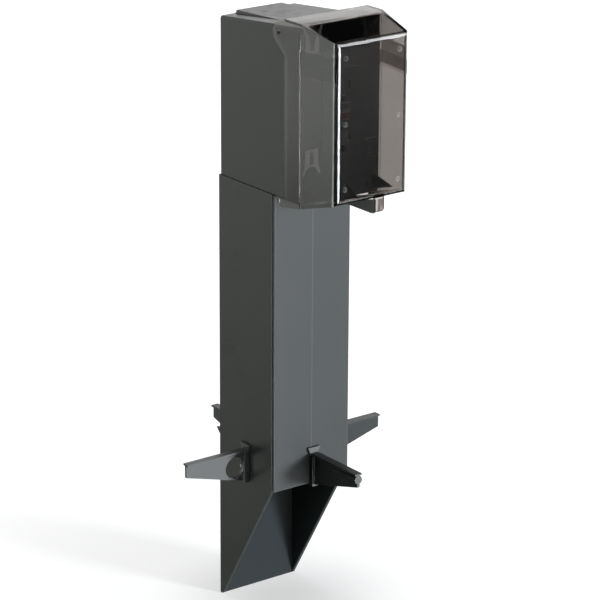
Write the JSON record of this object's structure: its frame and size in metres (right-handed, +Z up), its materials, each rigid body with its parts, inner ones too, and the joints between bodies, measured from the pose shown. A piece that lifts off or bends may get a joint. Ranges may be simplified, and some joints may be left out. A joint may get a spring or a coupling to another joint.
{
  "type": "garden socket post",
  "caption": "Square plastic garden post with chisel foot and stabiliser arms, carrying a weatherproof socket box with a hinged smoked in-use cover.",
  "frame": {"origin": "middle of the square post at the ground line, above the buried foot", "axes": "+Z up along the post, -Y towards the front with the socket and cover, +X to the right of someone who faces the cover"},
  "size_m": [0.1912, 0.204, 0.4953],
  "materials": {
    "charcoal_plastic": "satin moulded",
    "black_plastic": "satin moulded",
    "smoked_clear": "polished",
    "black_rubber": "matt",
    "steel": "zinc plated",
    "blackened_steel": "black oxide",
    "brass": "bright",
    "green_metal": "painted",
    "green_plastic": "lacquered",
    "blue_plastic": "matt",
    "copper_wire": "lacquered winding",
    "red_plastic": "satin moulded"
  },
  "bodies": {
    "post": {"post_channel": "charcoal_plastic", "front_panel": "charcoal_plastic", "arm_front": "charcoal_plastic", "arm_left": "charcoal_plastic", "arm_right": "charcoal_plastic", "arm_back": "charcoal_plastic", "head_shell": "charcoal_plastic", "head_screws": "steel", "cable_bushing": "black_rubber", "base_gasket": "black_rubber", "base_plate": "black_plastic", "base_screws": "blackened_steel", "hinge_pins": "blackened_steel", "socket_face": "black_plastic", "socket_body": "black_plastic", "socket_strap": "steel", "socket_screws": "steel", "case_screws": "steel", "line_contact": "brass", "neutral_contact": "brass", "line_terminals": "brass", "neutral_terminals": "steel", "earth_contact": "brass", "earth_screw": "green_metal", "circuit_board": "green_plastic", "current_sensor": "blue_plastic", "trip_solenoid": "copper_wire"},
    "cover": {"clear_cover": "smoked_clear"},
    "test_button": {"test_button": "black_plastic"},
    "reset_button": {"reset_button": "red_plastic"}
  },
  "joints": [
    {"name": "cover_hinge", "type": "hinge", "parent": "post", "child": "cover", "pos_m": [0, -0.0443, 0.31193], "axis": [-1, 0, 0], "range_deg": [0, 100]},
    {"name": "test_press", "type": "slide", "parent": "post", "child": "test_button", "axis": [0, 1, 0], "range_m": [0, 0.0012], "stiffness_N_per_m": 800},
    {"name": "reset_press", "type": "slide", "parent": "post", "child": "reset_button", "axis": [0, 1, 0], "range_m": [0, 0.0012], "stiffness_N_per_m": 800}
  ]
}
